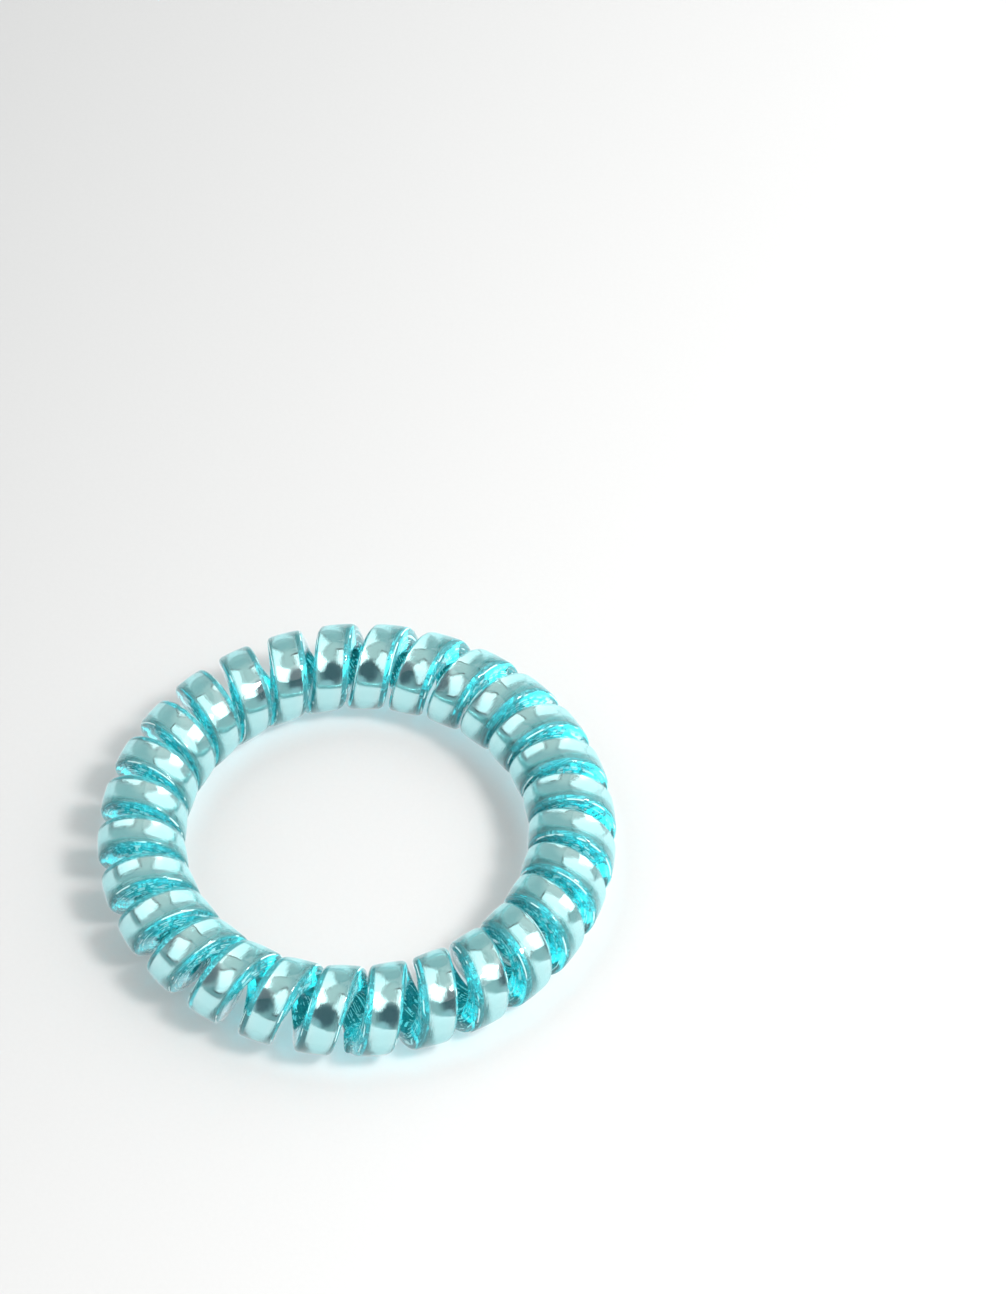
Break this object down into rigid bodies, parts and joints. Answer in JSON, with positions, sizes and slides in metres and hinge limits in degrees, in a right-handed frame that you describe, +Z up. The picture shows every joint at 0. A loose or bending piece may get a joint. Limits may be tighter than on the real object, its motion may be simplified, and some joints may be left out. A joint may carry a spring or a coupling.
{
  "type": "spiral hair tie",
  "caption": "Ring-shaped hair tie: a clear tinted cord with a bright film strip inside, wound as a left-handed coil and welded end to end.",
  "frame": {"origin": "centre of the ring, on the plane that it lies on", "axes": "+Z up through the hole of the ring as it lies flat; +Y away from the side where the weld is"},
  "size_m": [0.0548, 0.0548, 0.0094],
  "materials": {
    "clear_tpu": "clear aqua thermoplastic polyurethane, extruded, glossy",
    "metallised_film": "silver metallised film, bright, with fine lines along it"
  },
  "bodies": {
    "root": {"coil_cord": "clear_tpu", "foil_strip": "metallised_film", "end_weld": "clear_tpu"}
  },
  "joints": []
}
